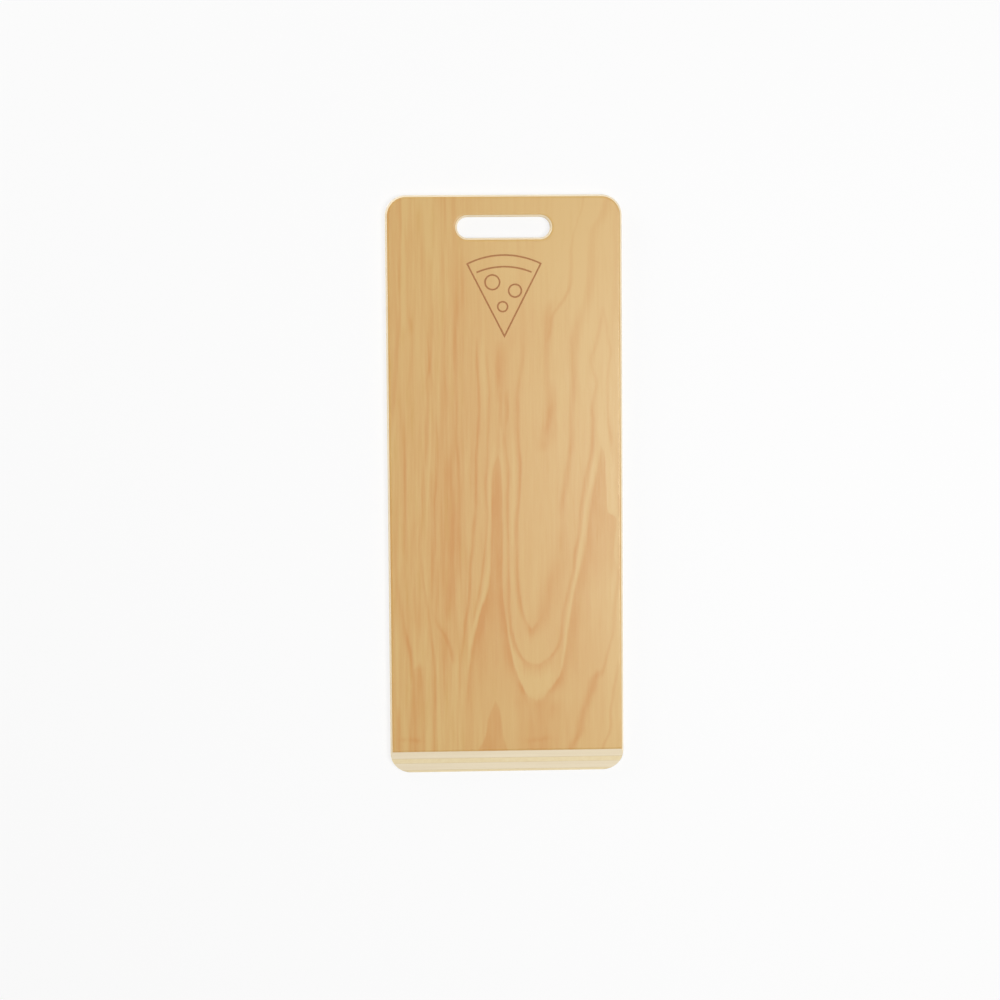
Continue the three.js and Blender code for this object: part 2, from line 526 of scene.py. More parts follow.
def relief(tree, shader, height, depth):
    """Fine relief of a surface, with its depth in millimetres."""
    bump = tree.nodes.new("ShaderNodeBump")
    bump.inputs["Distance"].default_value = depth * MM
    put(tree, height, bump.inputs["Height"])
    tree.links.new(bump.outputs["Normal"], shader.inputs["Normal"])


# The face veneer's figure, drawn from listed lines. Along a line, each point is (y, x, strength): dark
# where the strength is above 0 and pale where it is below. A line also has its reach to the left and to
# the right.

LINES = [
    # The ridge left of the middle: its left flank, the pale line beside it and two lines further out
    (1.6, 6, [(-310, -45.5, 0.25), (-250, -43.8, 0.3), (-215, -41.3, 0.45), (-185, -37.6, 0.65),
              (-160, -33.5, 0.7), (-140, -28.4, 0.65), (-125, -23.8, 0.4), (-110, -19.5, 0)]),
    (2.4, 1.6, [(-210, -43.5, 0), (-180, -40.8, -0.3), (-160, -37, -0.3), (-145, -33.6, -0.38),
                (-130, -28.5, -0.5), (-115, -23.5, -0.55), (-95, -20, -0.4), (-60, -18.2, -0.3),
                (-20, -17.4, -0.3), (15, -16, -0.3), (35, -12, -0.25), (50, -9, 0)]),
    (1.6, 1.6, [(-150, -36, 0), (-140, -34.8, 0.4), (-110, -28, 0.5), (-78, -24, 0.65), (-60, -22, 0.55),
                (-30, -19.8, 0.4), (0, -21.2, 0.5), (20, -19.2, 0.45), (50, -18.3, 0.4), (80, -17, 0.5),
                (105, -16.6, 0.5), (130, -18.6, 0.45), (156, -19.3, 0)]),
    (1.6, 1.9, [(-310, -54, 0.1), (-215, -51, 0.25), (-185, -48.4, 0.45), (-165, -46, 0.6),
                (-147, -44.2, 0.65), (-130, -41, 0.8), (-90, -38.3, 0.8), (-65, -36, 0.75),
                (-32, -33, 0.75), (-10, -31.9, 0.8), (35, -30.6, 0.7), (50, -29.2, 0.7), (80, -27.6, 0.7),
                (130, -29, 0.75), (160, -29, 0)]),
    (3, 3, [(60, -24.5, 0), (90, -23, -0.2), (140, -24, -0.2), (158, -24, 0)]),
    # The ridge's right flank and the lines of the valley's left side
    (6, 1.6, [(-225, 21, 0), (-218, 17, 0.5), (-208, 13, 0.6), (-190, 6.7, 0.58), (-170, 2.2, 0.52),
              (-150, -0.3, 0.52), (-135, -2.3, 0.45), (-120, -4, 0.3), (-105, -4, 0)]),
    (2, 2, [(-135, 1, 0), (-60, -0.5, -0.25), (0, -1.5, -0.25), (30, -3.5, -0.25), (60, -4, 0)]),
    (3.2, 1.6, [(-189, 18.5, 0), (-180, 13.2, 0.7), (-165, 8, 0.65), (-148, 4.9, 0.6), (-110, 3.2, 0.5),
                (-80, 2.8, 0.4), (-40, 2.6, 0.45), (-15, 2.4, 0.65), (15, 3, 0.65), (35, 1, 0.55),
                (48, 0.2, 0.55), (60, 0.5, 0.25), (75, 2.8, 0.5), (95, 2.8, 0.35), (105, 3, 0)]),
    (3, 3, [(-125, 8.5, -0.15), (-60, 8, -0.35), (20, 8.5, -0.3), (60, 8, 0)]),
    (3, 1.8, [(-149, 23, 0), (-141, 19.2, 0.55), (-132, 16.2, 0.7), (-120, 13.9, 0.75), (-97, 12.3, 0.8),
              (-70, 11.8, 0.85), (-40, 12.3, 0.9), (-10, 14.6, 0.9), (20, 15.8, 0.95), (40, 14.4, 0.8),
              (85, 13.8, 0.65), (103, 14.4, 0.6), (120, 17.2, 0.5), (135, 19.6, 0.45), (156, 20.5, 0.3),
              (250, 15, 0.2), (310, 12, 0.25)]),
    (1.5, 1.5, [(-215, 14.5, 0), (-200, 11.5, -0.35), (-190, 9, -0.5), (-175, 5.6, -0.4), (-160, 3, -0.35),
                (-145, 2, -0.25), (-130, 1, 0)]),
    (17, 22, [(-310, 35, 0.6), (-255, 37, 0.52), (-238, 38, 0.35), (-228, 38, 0)]),
    # The valley's right side and the crest near the right edge
    (9, 11, [(-162, 31, 0), (-142, 38, 0.45), (-125, 44, 0.55), (-110, 48, 0.55), (-95, 52, 0.52),
             (-80, 57, 0.45), (-60, 60, 0.22), (-40, 60, 0)]),
    (3, 4, [(-75, 58.5, 0), (-60, 59, 0.3), (-40, 60.2, 0.3), (-20, 60.5, 0.5), (-3, 63.2, 0.65),
            (22, 66.8, 0.65), (40, 69.6, 0.7), (75, 70.3, 0.5), (110, 72.8, 0.4), (140, 72.3, 0.15),
            (160, 75, 0)]),
    (5, 6.5, [(60, 70, 0), (110, 72.8, 0.2), (135, 72.3, 0.4), (156, 74.5, 0.5), (180, 80.5, 0.45),
              (200, 87, 0.4), (215, 91, 0.45), (255, 93, 0.5), (272, 95, 0.5), (285, 103, 0.4),
              (310, 111, 0.35)]),
    (2.2, 2.2, [(150, 44, 0), (165, 48.8, 0.35), (180, 51, 0.45), (190, 57, 0.5), (200, 63.5, 0.5),
                (212, 69.5, 0.5), (225, 71.2, 0.5), (245, 71.4, 0.5), (262, 73.3, 0.5), (280, 78, 0.5),
                (293, 82.6, 0.55), (310, 83.6, 0.55)]),
    (2, 2.6, [(-185, 48, 0), (-178, 52.3, 0.55), (-168, 57, 0.5), (-150, 60, 0.48), (-130, 62.8, 0.55),
              (-110, 67.2, 0.55), (-92, 71.2, 0.6), (-75, 73, 0.65), (-55, 77, 0.65), (-30, 79.8, 0.55),
              (0, 84, 0.55), (12, 86, 0.55), (30, 90.5, 0.65), (45, 92.4, 0.65), (68, 93.4, 0.55),
              (82, 92.2, 0.55), (96, 94.3, 0.4), (110, 96.5, 0.35), (121, 93.2, 0.35), (136, 92.2, 0.4),
              (146, 95, 0.4), (160, 98.6, 0.4), (173, 101.4, 0.35), (192, 103.6, 0)]),
    (2, 2, [(40, 113, 0), (52, 112, 0.45), (67, 110, 0.4), (96, 109, 0.35), (127, 110.7, 0.4),
            (141, 112.7, 0.45), (156, 110, 0.35), (171, 108.5, 0.3), (192, 103.6, 0)]),
    (1.8, 1.8, [(-205, 55, 0), (-195, 58.6, -0.4), (-185, 60.6, -0.45), (-165, 63, -0.4), (-140, 67, -0.35),
                (-120, 70.2, -0.35), (-91, 75.6, -0.4), (-76, 78.3, -0.4), (-43, 83.5, -0.4),
                (-10, 88, -0.4), (18, 93.6, -0.4), (42, 99, 0)]),
    (1.6, 9, [(-224, 44, 0), (-215, 50.5, 0.5), (-200, 58.7, 0.65), (-180, 63.6, 0.7), (-160, 66.8, 0.65),
              (-140, 70, 0.7), (-120, 72.6, 0.65), (-97, 78.2, 0.55), (-80, 82, 0.4), (-60, 86, 0.2),
              (-40, 88.5, 0)]),
    (4.5, 4, [(-31, 113, 0), (-24, 113, -0.5), (0, 112.5, -0.45), (25, 111.5, -0.35), (40, 109, -0.15),
              (55, 104, -0.2), (70, 103, 0)]),
    (1.5, 2, [(-35, 121.5, 0), (-25, 121, 0.5), (-15, 121, 0.45), (-5, 121.5, 0)]),
    # The low arch at the right corner
    (4.6, 4.4, [(-310, 60, 0.65), (-280, 70.2, 0.8), (-267, 77.9, 0.85), (-254, 79.8, 0.7),
                (-244, 82.3, 0.65), (-235, 85.4, 0.7), (-227, 88, 0.8), (-218, 91, 0.95), (-209, 93, 0.8),
                (-203, 97, 0.6), (-195, 103.5, 0)]),
    (1.6, 2, [(-310, 100, 0.5), (-279, 104, 0.5), (-267, 110.4, 0.5), (-242, 111.8, 0.45),
              (-229, 113.7, 0.45), (-217, 115, 0.5), (-204, 117.5, 0.45), (-185, 119, 0)]),
    (1.8, 1.8, [(-206, 102, 0), (-198, 103.6, 0.4), (-180, 108, 0.4), (-169, 111, 0.35), (-162, 113.7, 0.3),
                (-130, 116.2, 0.3), (-97, 119.5, 0.3), (-60, 122, 0)]),
    # Streaks and a stain above the middle, and the soft ends of two lines
    (5, 4, [(80, -47, 0), (110, -46, 0.15), (150, -46, 0.3), (190, -46, 0.4), (225, -45, 0.3),
            (250, -45, 0)]),
    (4.5, 5, [(60, 48, 0), (100, 46, 0.3), (130, 45, 0.45), (165, 45, 0.62), (185, 46.5, 0.45),
              (200, 50, 0)]),
    (2.5, 2.5, [(28, -8, 0), (42, -7.5, 0.3), (60, -7, 0.2), (80, -6, 0)]),
    (5.2, 5.2, [(86, -5, 0), (100, -5, 0.45), (120, -5.5, 0.7), (140, -5.5, 0.6), (156, -5.5, 0)]),
    (1.6, 1.6, [(60, -4.5, 0), (75, -5, 0.45), (95, -5, 0.45), (105, -5, 0)]),
    (5.5, 5, [(33, 39.5, 0), (42, 39.8, 0.4), (52, 41, 0.35), (60, 43, 0.5), (70, 46.5, 0.6),
              (82, 49, 0.65), (92, 50, 0.4), (104, 51, 0.25), (114, 51, 0)]),
    # The long lines of the left third, from the left edge inwards
    (2, 2.2, [(-310, -122.5, 0.25), (310, -122.5, 0.25)]),
    (3, 3, [(-310, -115.5, 0.4), (-260, -116, 0.35), (-243, -117, 0.25), (-232, -117, 0)]),
    (1.8, 1.8, [(-250, -117, 0), (-220, -116.5, -0.3), (-180, -117, -0.3), (-140, -118, 0)]),
    (3, 1.4, [(50, -120, 0), (75, -118.8, 0.35), (110, -116, 0.4), (155, -113, 0.4), (185, -111, 0.4),
              (235, -110, 0.5), (270, -108.5, 0.45), (310, -108.3, 0.55)]),
    (3, 2.2, [(-75, -109, 0), (-50, -108, 0.4), (-15, -107.8, 0.42), (20, -107, 0.42), (50, -107.3, 0.4),
              (95, -110, 0)]),
    (2.4, 2.4, [(-100, -104, 0), (-60, -103, -0.2), (-25, -101, -0.35), (5, -102, -0.25), (40, -103, -0.25),
                (110, -106, 0.05), (160, -106, 0.05), (200, -106.5, -0.25), (310, -104.6, -0.35)]),
    (3, 1.8, [(-215, -101, 0), (-200, -101.2, 0.5), (-177, -103, 0.65), (-165, -105.6, 0.6),
              (-153, -108.4, 0.55), (-140, -110.4, 0.5), (-125, -112.5, 0.35), (-95, -116, 0)]),
    (2.8, 2.8, [(100, -102, 0), (120, -100.5, 0.35), (140, -100.5, 0.35), (157, -100, 0.2),
                (172, -99.5, 0.5), (184, -101, 0.25), (245, -101, 0.3), (270, -99.5, 0.2), (310, -99, 0.3)]),
    (1.1, 1.1, [(150, -95, 0), (190, -95, 0.25), (250, -94.2, 0.25), (310, -94, 0.25)]),
    (6, 5, [(-196, -92, 0), (-188, -93, -0.4), (-172, -94, -0.4), (-140, -100, 0)]),
    (2.5, 2.5, [(-310, -84, -0.2), (-230, -84, -0.3), (-205, -84, -0.3), (-180, -85, 0)]),
    (2, 1.6, [(-310, -78.3, 0.5), (-248, -78.2, 0.55), (-185, -77.6, 0.65), (-173, -78.6, 0.65),
              (-160, -80, 0.6), (-150, -81, 0.55), (-122, -85, 0.5), (-105, -88, 0.45), (-60, -90.5, 0.4),
              (-30, -88.5, 0.35), (0, -87.6, 0.45), (25, -88, 0)]),
    (1.4, 1.6, [(-225, -75, 0), (-190, -75.2, -0.35), (-165, -77, -0.25), (-145, -78, 0)]),
    (1.3, 1.5, [(-135, -83.6, 0), (-110, -85.4, -0.3), (-60, -85, -0.25), (-20, -83.5, -0.35),
                (10, -82, -0.4), (35, -81, -0.35), (80, -80, 0)]),
    (1.8, 1.8, [(15, -84.5, 0), (38, -84, 0.5), (60, -83.6, 0.5), (95, -82, 0.45), (110, -82.6, 0.5),
                (128, -80.2, 0.5), (165, -82, 0)]),
    (3, 1.1, [(-125, -79, 0), (-108, -78, 0.35), (-45, -75, 0.4), (-20, -75.5, 0.35), (5, -73, 0.45),
              (60, -72.3, 0.4), (90, -74, 0.15), (130, -77.5, 0.25), (165, -75.6, 0.3), (220, -75.4, 0.3),
              (260, -74, 0.35), (310, -72, 0.35)]),
    (2.2, 2.6, [(-190, -57, 0), (-182, -58, 0.5), (-172, -60.2, 0.5), (-160, -66, 0.5), (-150, -72, 0.4),
                (-130, -79, 0)]),
    (7, 6, [(-310, -66, 0.2), (-250, -66, 0.3), (-200, -66, 0.42), (-165, -65, 0.35), (-140, -66, 0.1),
            (-125, -66, 0)]),
    (6, 4, [(-148, -62, 0), (-135, -62.5, 0.4), (-115, -60.5, 0.45), (-85, -60, 0.4), (-60, -58.5, 0.45),
            (-35, -57, 0.52), (-10, -57.8, 0.44), (15, -59.5, 0.42), (40, -57, 0.4), (90, -60, 0.2),
            (120, -62, 0.15), (210, -66, 0.2), (232, -64, 0.4), (255, -66, 0.3), (310, -65.5, 0.3)]),
    (1.1, 1.8, [(240, -61, 0), (262, -61.6, 0.3), (310, -62, 0.35)]),
    (2, 2, [(-120, -50, 0), (-100, -50, 0.25), (-15, -48, 0.3), (15, -48.5, 0.35), (50, -52, 0.35),
            (120, -51.5, 0.2), (150, -52, 0.45), (200, -50, 0.3), (250, -49, 0.35), (275, -50, 0)]),
]

# The bottoms of the valley's three loops and the pale wood above the lowest: the reach below and
# above, and points (x, y, strength)
BOWLS = [
    (10, 3, [(16, -139, 0), (20, -146, 0.35), (24, -151, 0.5), (27, -154, 0.55), (30, -151, 0.45),
             (34, -145, 0.25), (40, -137, 0)]),
    (7, 2, [(13, -177, 0), (17, -185, 0.45), (20, -188, 0.5), (25, -191, 0.5), (31, -192, 0.5),
            (37, -190.5, 0.5), (43, -187.5, 0.5), (48, -183, 0.45), (53, -176, 0)]),
    (10, 3, [(11, -207, 0), (14, -213, 0.45), (18, -220, 0.6), (22, -226, 0.5), (28, -230, 0.4),
             (35, -232, 0.35), (40, -228.5, 0.5), (46, -220, 0.6), (52, -212, 0.4), (57, -203, 0)]),
    (13, 7, [(10, -203, 0), (18, -210, -0.4), (30, -213, -0.45), (44, -208, -0.4), (56, -198, 0)]),
]

# Pointed arches, dark inside: the softness of each side's edge and its (y, x) points, which cross
# above the arch's top, and (y, strength) points
ARCHES = [
    ((2.4, [(-310, -46), (-261, -44.8), (-210, -41.5), (-185, -38.3), (-160, -34.3), (-135, -27.6),
            (-110, -19.5), (-97, -17.6), (-66, -16), (-20, -15.3), (8, -14.4), (17, -13.2), (33, -7.7),
            (42, -4)]),
     (2, [(-310, 30), (-245, 26), (-222, 19.5), (-208, 13.2), (-190, 7), (-150, 0), (-110, -4), (-60, -3.8),
          (0, -4), (22, -5.3), (33, -7.7), (42, -12)]),
     [(-310, 0.2), (-225, 0.14), (-170, 0.3), (-150, 0.38), (-138, 0.48), (-120, 0.62), (0, 0.66),
      (20, 0.62), (33, 0.4)]),
    ((3.5, [(-120, 72.3), (-97, 78), (-72, 84.2), (-59, 86), (-34, 88.6), (-5, 93), (16, 97.4), (40, 102.4),
            (50, 106)]),
     (2, [(-110, 124), (-90, 120), (-75, 115.5), (-59, 116), (-42, 118), (-34, 117), (-31, 112),
          (-28, 109.8), (-15, 108), (10, 106.8), (35, 105.5), (40, 103), (50, 99)]),
     [(-120, 0), (-100, 0.1), (-80, 0.3), (-60, 0.45), (-30, 0.5), (0, 0.55), (25, 0.6), (40, 0.45)]),
    ((3, [(-310, -42), (-282, -31), (-272, -26), (-261, -22), (-250, -20.7), (-244, -18.5), (-236, -14.8),
          (-230, -12.5), (-222, -9)]),
     (3, [(-310, 10), (-282, 0), (-271, -3.8), (-261, -5), (-243, -7.2), (-236, -9.2), (-230, -12.5),
          (-222, -17)]),
     [(-310, 0.7), (-260, 0.62), (-240, 0.55), (-230, 0.45)]),
    ((5, [(-310, -105), (-225, -103.5), (-212, -101.5), (-200, -100.5), (-194, -98), (-190, -94),
          (-184, -89)]),
     (4, [(-310, -89.2), (-217, -89), (-205, -90.2), (-197, -92), (-190, -94), (-184, -99)]),
     [(-310, 0.55), (-250, 0.52), (-210, 0.38), (-192, 0.2)]),
]

# Dark patches: middle x and y, reach along x and y, strength. The first three lie in one row near the bevel.
DARK_PATCHES = [
    (34, -273, 14, 2.5, 0.35),
    (-98, -271, 7, 3, 0.4),
    (-111, -271, 4, 2.5, 0.35),
    (50, -238, 7, 14, 0.32),
    (13, -229, 6, 13, 0.32),
    (50, 57, 6, 14, 0.4),
]

# Broad tones, of plain wood and of painted light: (x, share) points across the board and (y, tone) along it
TONES_AND_PAINTED_LIGHT = [
    ([(-112, 1), (-106, 0)],
     [(-310, -0.03), (-200, 0.04), (-100, 0.03), (40, 0.02), (80, -0.06), (130, 0), (170, 0.12),
      (240, 0.25)]),
    ([(-112, 0), (-104, 0.9), (-97, 0.9), (-90, 0.65), (-85, 0.65), (-78, 1.05), (-70, 1), (-60, 0)],
     [(-310, 0), (-220, 0.02), (-170, 0.18), (-120, 0.34), (0, 0.34), (60, 0.18), (120, 0.06), (200, -0.1),
      (260, -0.27), (310, -0.3)]),
    ([(-70, 0), (-60, 0.9), (-46, 0.95), (-38, 0.55), (-28, 0.65), (-18, 0.5), (-10, 0.3), (5, 0.4),
      (15, 0.1), (25, 0)],
     [(-310, -0.1), (-240, -0.1), (-190, 0.1), (-160, 0.25), (-120, 0.36), (0, 0.34), (100, 0.28),
      (200, 0.12), (250, 0), (310, -0.05)]),
    ([(-25, 0), (-10, 1), (40, 1), (55, 0)], [(180, 0), (230, -0.17)]),
    # Painted light: this row turns the wood paler towards the upper right, as if more light fell there
    ([(40, 0), (62, 1), (104, 1), (116, 0.4)],
     [(-310, 0), (-250, 0), (-190, 0.1), (-120, 0), (-60, 0), (0, -0.02), (40, -0.08), (100, -0.14),
      (170, -0.16), (220, -0.28), (260, -0.38)]),
    ([(90, 0), (104, 0.7), (112, 1)],
     [(-310, -0.15), (-150, -0.2), (-60, -0.1), (0, -0.08), (60, -0.15), (150, -0.12), (200, 0)]),
]

# How dark the darkest lines are
FIGURE_DEPTH = 0.74

# Half of an arch's soft edge, as a share of its width
ARCH_HALF_EDGE = 0.5


def column(points, number):
    """The (first, chosen) values of the points of a line."""
    return [(point[0], point[number]) for point in points]


def line_tone(across, along, before, after, points):
    """A soft line of the figure, with its own reach to each side and its strength along it."""
    off = across - curve(along, column(points, 1))
    reach = between(maths("GREATER_THAN", off, 0), before, after)
    return bell(off / reach) * curve(along, column(points, 2))


def arch_tone(x, y, left, right, strength):
    """A pointed arch of the figure, filled with dark wood."""
    left_edge, left_points = left
    right_edge, right_points = right
    past_left = (x - curve(y, left_points)) / left_edge
    past_right = (curve(y, right_points) - x) / right_edge
    inside = smooth_step(maths("MINIMUM", past_left, past_right), -ARCH_HALF_EDGE, ARCH_HALF_EDGE)
    return inside * curve(y, strength)


def patch(x, y, middle_x, middle_y, reach_x, reach_y):
    """1 in the middle of a soft patch of the sheet, and 0 away from it."""
    return bell((x - middle_x) / reach_x) * bell((y - middle_y) / reach_y)


def figure_and_painted_light(x, y):
    """How dark figure and painted light are at a point of the sheet: 0 in plain wood, below 0 where pale."""
    tone = 0
    for across, along in TONES_AND_PAINTED_LIGHT:
        tone = curve(x, across) * curve(y, along) + tone
    for line in LINES:
        tone = tone + line_tone(x, y, *line)
    for bowl in BOWLS:
        tone = tone + line_tone(y, x, *bowl)
    for sides in ARCHES:
        tone = tone + arch_tone(x, y, *sides)
    for middle_x, middle_y, reach_x, reach_y, strength in DARK_PATCHES:
        tone = tone + patch(x, y, middle_x, middle_y, reach_x, reach_y) * strength
    return tone * FIGURE_DEPTH


# The sealed veneer. A noise has the size of its lumps across the board, along it and through it, its
# detail, and a shift that sets it apart from the others.

VENEER_NOISES = {
    "drift": ((20, 70, 50), 1, 0),
    "waver": ((3, 18, 50), 2, 0),
    "slide": ((30, 60, 50), 1, 5),
    "fray": ((1.8, 30, 50), 1, 10),
    "patch": ((9, 45, 50), 3, 3),
    "fibre": ((0.5, 24, 5), 2, 6),
    "streak": ((2.8, 70, 5), 3, 7),
    "band": ((8, 160, 50), 2, 4),
    "cloud": ((30, 90, 50), 2, 8),
    "gold": ((6, 50, 50), 3, 14),
    "red": ((7, 45, 50), 3, 12),
    "fleck": ((0.35, 5, 5), 1, 11),
}

# How far noise moves the figure across and along the sheet, in millimetres, and how uneven it makes it
FIGURE_ACROSS = {"drift": 0.9, "waver": 0.55}
FIGURE_ALONG = {"slide": 3, "fray": 1.2}
FIGURE_PATCHINESS = 0.4

# Colours of the wood, as they look on screen
VENEER_PALE = (217, 179, 113)
VENEER_DEEP = (207, 149, 80)
VENEER_RED = (207, 147, 84)
VENEER_GOLD = (206, 159, 81)
SCORCHED = (168, 104, 62)

# What turns the pale wood deep. The straight wood at the left is streakier. It begins and is whole at
# two distances to the left of the board's middle.
VENEER_PLAIN = 0.2
VENEER_TONE = {"figure": 1, "fibre": 0.09, "streak": 0.13, "band": 0.1, "cloud": 0.1}
TONE_AT_LEFT = {"streak": 0.2, "band": 0.17}
STRAIGHT_WOOD = (15, 70)

# The other tints: the values between which each of them sets in, and its share
GOLD_RISE = (0.0, 1.1)
GOLD_SHARE = 0.2
GOLD_SHARE_AT_LEFT = 0.3
RED_RISE = (0.1, 1.4)
RED_BY_FIGURE = 0.5
RED_SHARE = 0.35
FLECK_RISE = (0.55, 1.1)
FLECK_SHARE = 0.14
CHAR_RISE = (0.02, 1.0)
CHAR_BY_FIBRE = 0.12
CHAR_SHARE = 0.8

# The satin seal, and the relief that shows through it, with its depth in millimetres
SEAL_ROUGHNESS = 0.38
VENEER_ROUGHNESS = {"fibre": 0.05, "figure": 0.05, "scorch": 0.3}
VENEER_RELIEF = {"fibre": 0.35, "streak": 0.3, "figure": 0.5, "fleck": -0.4}
VENEER_RELIEF_DEPTH = 0.03

# The back is another sheet of the log, mirrored, further along it and with noise of its own
BACK_MIRROR = -1
BACK_ALONG = 70
BACK_SHIFT = 20


def veneer_colour(wood, left):
    """The veneer's colour from its named values and from its share of straight wood."""
    tone = weighted(VENEER_PLAIN, wood, VENEER_TONE) + weighted(0, wood, TONE_AT_LEFT) * left
    colour = blend(tone, linear(VENEER_PALE), linear(VENEER_DEEP))
    golden = smooth_step(wood["gold"], *GOLD_RISE) * (GOLD_SHARE + left * GOLD_SHARE_AT_LEFT)
    colour = blend(golden, colour, linear(VENEER_GOLD))
    rosy = smooth_step(wood["red"] + wood["figure"] * RED_BY_FIGURE, *RED_RISE)
    colour = blend(rosy * RED_SHARE, colour, linear(VENEER_RED))
    colour = blend(wood["fleck"] * FLECK_SHARE, colour, linear(VENEER_DEEP))
    char = smooth_step(wood["scorch"] + wood["fibre"] * CHAR_BY_FIBRE, *CHAR_RISE)
    return blend(char * CHAR_SHARE, colour, linear(SCORCHED))


def veneer_material(name, mirror=1, along=0, shift=0):
    """Softwood veneer with a satin seal, cut from the log mirrored or further along if asked."""
    material, tree, shader = new_material(name)
    place = Place(tree)
    wood = place.noises(VENEER_NOISES, shift)
    x = weighted(place.x * mirror, wood, FIGURE_ACROSS)
    y = weighted(place.y * mirror + along, wood, FIGURE_ALONG)
    # The figure also holds painted light that makes the upper right of the sheet paler
    wood["figure"] = figure_and_painted_light(x, y) * (1 + wood["patch"] * FIGURE_PATCHINESS)
    wood["fleck"] = smooth_step(wood["fleck"], *FLECK_RISE)
    wood["scorch"] = attribute(tree, "scorch")
    left = smooth_step(-place.x, *STRAIGHT_WOOD)
    put(tree, veneer_colour(wood, left), shader.inputs["Base Color"])
    put(tree, weighted(SEAL_ROUGHNESS, wood, VENEER_ROUGHNESS), shader.inputs["Roughness"])
    relief(tree, shader, weighted(0, wood, VENEER_RELIEF), VENEER_RELIEF_DEPTH)
    return material


# The poplar plies. Their noises have sizes across the fibres, along them and through the ply.

POPLAR_NOISES = {
    "streak": ((0.9, 45, 0.5), 2, 0),
    "band": ((6, 160, 1.1), 1, 3),
    "pore": ((0.16, 7, 0.16), 1, 7),
    "wash": ((40, 90, 40), 2, 11),
}

# Colours of pale wood, deep wood and end grain, as they look on screen
CROSS_PLY = ((246, 232, 203), (236, 217, 182), (241, 222, 187))
LONG_PLY = ((245, 228, 186), (236, 213, 164), (236, 213, 166))

# What turns the pale wood deep, and how end grain and pores set in
POPLAR_PLAIN = 0.35
POPLAR_TONE = {"streak": 0.2, "band": 0.3, "wash": 0.15}
END_RISE = (0.25, 0.9)
END_SHARE = 0.75
PORE_RISE = (0.45, 1.0)
PORE_SHARE = 0.25
PORE_SHARE_ON_END = 0.3
PORE_SHADE = 0.78

# The sanded surface
SANDED_ROUGHNESS = 0.62
POPLAR_ROUGHNESS = {"streak": 0.04, "end": 0.1}
POPLAR_RELIEF = {"streak": 0.4, "band": 0.2, "pore": -0.6}
POPLAR_RELIEF_DEPTH = 0.04


def ply_material(name, along_board, pale, deep, end_grain):
    """Sanded poplar, solid through the ply, with its fibres along or across the board."""
    material, tree, shader = new_material(name)
    place = Place(tree)
    wood = place.noises(POPLAR_NOISES, turned=not along_board)
    cut = maths("ABSOLUTE", place.facing[1 if along_board else 0])
    wood["end"] = smooth_step(cut, *END_RISE)
    wood["pore"] = smooth_step(wood["pore"], *PORE_RISE)
    colour = blend(weighted(POPLAR_PLAIN, wood, POPLAR_TONE), linear(pale), linear(deep))
    colour = blend(wood["end"] * END_SHARE, colour, linear(end_grain))
    pores = wood["pore"] * (PORE_SHARE + wood["end"] * PORE_SHARE_ON_END)
    colour = blend(pores, colour, linear([part * PORE_SHADE for part in end_grain]))
    put(tree, colour, shader.inputs["Base Color"])
    put(tree, weighted(SANDED_ROUGHNESS, wood, POPLAR_ROUGHNESS), shader.inputs["Roughness"])
    relief(tree, shader, weighted(0, wood, POPLAR_RELIEF), POPLAR_RELIEF_DEPTH)
    return material


# The glue films

GLUE_NOISES = {
    "cloud": ((9, 9, 9), 3, 0),
    "smear": ((3, 3, 3), 2, 4),
    "grit": ((0.8, 0.8, 0.8), 2, 8),
}
GLUE_PALE = (228, 207, 168)
GLUE_DEEP = (213, 187, 142)
GLUE_PLAIN = 0.5
GLUE_TONE = {"cloud": 0.5}
CURED_ROUGHNESS = 0.45
GLUE_ROUGHNESS = {"smear": 0.08}
GLUE_RELIEF_DEPTH = 0.02


def glue_material(name):
    """Cured wood glue, a little uneven in colour where it shows between the plies."""
    material, tree, shader = new_material(name)
    glue = Place(tree).noises(GLUE_NOISES)
    colour = blend(weighted(GLUE_PLAIN, glue, GLUE_TONE), linear(GLUE_PALE), linear(GLUE_DEEP))
    put(tree, colour, shader.inputs["Base Color"])
    put(tree, weighted(CURED_ROUGHNESS, glue, GLUE_ROUGHNESS), shader.inputs["Roughness"])
    relief(tree, shader, glue["grit"], GLUE_RELIEF_DEPTH)
    return material


def slot_of(node):
    """The material slot that the record gives a node."""
    return next(row["material_slot"] for row in frame["record"]["subparts"] if row["node"] == node)


def make_board():
    """Replaces every layer of the frame, each with the material of its slot."""
    materials = {
        "face_veneer": veneer_material("face_veneer"),
        "back_veneer": veneer_material("back_veneer", BACK_MIRROR, BACK_ALONG, BACK_SHIFT),
        "cross_ply": ply_material("cross_ply", False, *CROSS_PLY),
        "long_ply": ply_material("long_ply", True, *LONG_PLY),
        "glue_film": glue_material("glue_film"),
    }
    for node in sorted(frame["nodes"]):
        make_layer(node, materials[slot_of(node)])


# Stage, light and camera. The floor's half side and the softboxes are in metres.

FLOOR_HALF = 30
FLOOR_DROP = 0.2
FLOOR_GREY = 0.9
FLOOR_ROUGHNESS = 0.6
FLOOR_WHITE = 0.8  # share of plain white in what the camera sees of it

# Light from the horizon and from overhead, and the heights between which the one turns into the other
HORIZON_LIGHT = 1.3
OVERHEAD_LIGHT = 0.28
OVERHEAD_RISE = (0.05, 0.5)

# Softboxes: place, size and power in watts
SOFTBOXES = {
    "key": ((0.85, -0.12, 2.45), 0.8, 38),
    "fill": ((-1.6, 1.5, 0.35), 1.2, 20),
}

# The photograph's view: lens, sensor and place in millimetres, turn in degrees
CAMERA_LENS = 85
SENSOR_WIDTH = 36
CAMERA_PLACE = (-125.4, 173.8, 2511.3)
CAMERA_TURN = (-4.29, -2.766, -0.418)


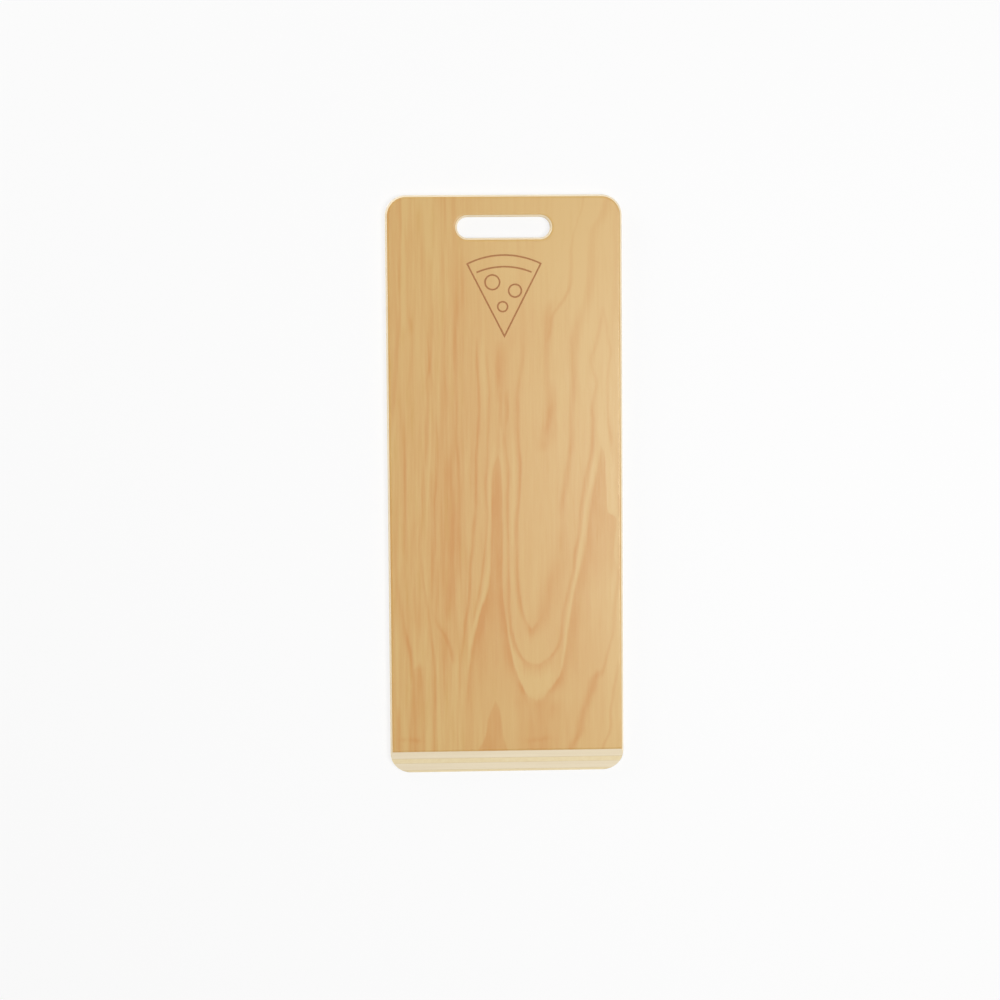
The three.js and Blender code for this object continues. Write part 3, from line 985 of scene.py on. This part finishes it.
def floor_material():
    """Pale grey that is nearly white where the camera sees it, but keeps soft shadows."""
    material, tree, shader = new_material("floor")
    shader.inputs["Base Color"].default_value = (FLOOR_GREY, FLOOR_GREY, FLOOR_GREY, 1)
    shader.inputs["Roughness"].default_value = FLOOR_ROUGHNESS
    rays = tree.nodes.new("ShaderNodeLightPath")
    seen = Scalar(tree, rays.outputs["Is Camera Ray"])
    seen = maths("MAXIMUM", seen, Scalar(tree, rays.outputs["Is Glossy Ray"]))
    seen = maths("MAXIMUM", seen, Scalar(tree, rays.outputs["Is Transmission Ray"]))
    white = tree.nodes.new("ShaderNodeEmission")
    mix = tree.nodes.new("ShaderNodeMixShader")
    put(tree, seen * FLOOR_WHITE, mix.inputs[0])
    tree.links.new(shader.outputs[0], mix.inputs[1])
    tree.links.new(white.outputs[0], mix.inputs[2])
    tree.links.new(mix.outputs[0], tree.nodes["Material Output"].inputs["Surface"])
    return material


def make_floor():
    """A wide pale floor just under the board."""
    mesh = bpy.data.meshes.new("floor")
    square = [(-1, -1), (1, -1), (1, 1), (-1, 1)]
    corners = [(x * FLOOR_HALF, y * FLOOR_HALF, -FLOOR_DROP * MM) for x, y in square]
    mesh.from_pydata(corners, [], [(0, 1, 2, 3)])
    mesh.materials.append(floor_material())
    floor = bpy.data.objects.new("floor", mesh)
    bpy.context.scene.collection.objects.link(floor)


def make_world():
    """Light from all round that is stronger near the horizon."""
    world = bpy.data.worlds.new("studio")
    bpy.context.scene.world = world
    world.use_nodes = True
    tree = world.node_tree
    direction = tree.nodes.new("ShaderNodeTexCoord")
    split = tree.nodes.new("ShaderNodeSeparateXYZ")
    tree.links.new(direction.outputs["Generated"], split.inputs[0])
    height = smooth_step(Scalar(tree, split.outputs["Z"]), *OVERHEAD_RISE)
    light = tree.nodes["Background"]
    light.inputs["Color"].default_value = (1, 1, 1, 1)
    put(tree, between(height, HORIZON_LIGHT, OVERHEAD_LIGHT), light.inputs["Strength"])


def make_softbox(name, place, size, power):
    """A square soft light that faces the middle of the board."""
    light = bpy.data.lights.new(name, "AREA")
    light.size = size
    light.energy = power
    lamp = bpy.data.objects.new(name, light)
    lamp.location = place
    lamp.rotation_euler = (-Vector(place)).to_track_quat("-Z", "Y").to_euler()
    bpy.context.scene.collection.objects.link(lamp)


def make_camera():
    """The camera, at the place and turn that match the photograph."""
    data = bpy.data.cameras.new("camera")
    data.lens = CAMERA_LENS
    data.sensor_width = SENSOR_WIDTH
    camera = bpy.data.objects.new("camera", data)
    camera.location = Vector(CAMERA_PLACE) * MM
    camera.rotation_euler = [math.radians(turn) for turn in CAMERA_TURN]
    bpy.context.scene.collection.objects.link(camera)
    bpy.context.scene.camera = camera


bpy.context.scene.view_settings.view_transform = "Standard"
make_camera()
make_board()
make_floor()
make_world()
for box_name, softbox in SOFTBOXES.items():
    make_softbox(box_name, *softbox)
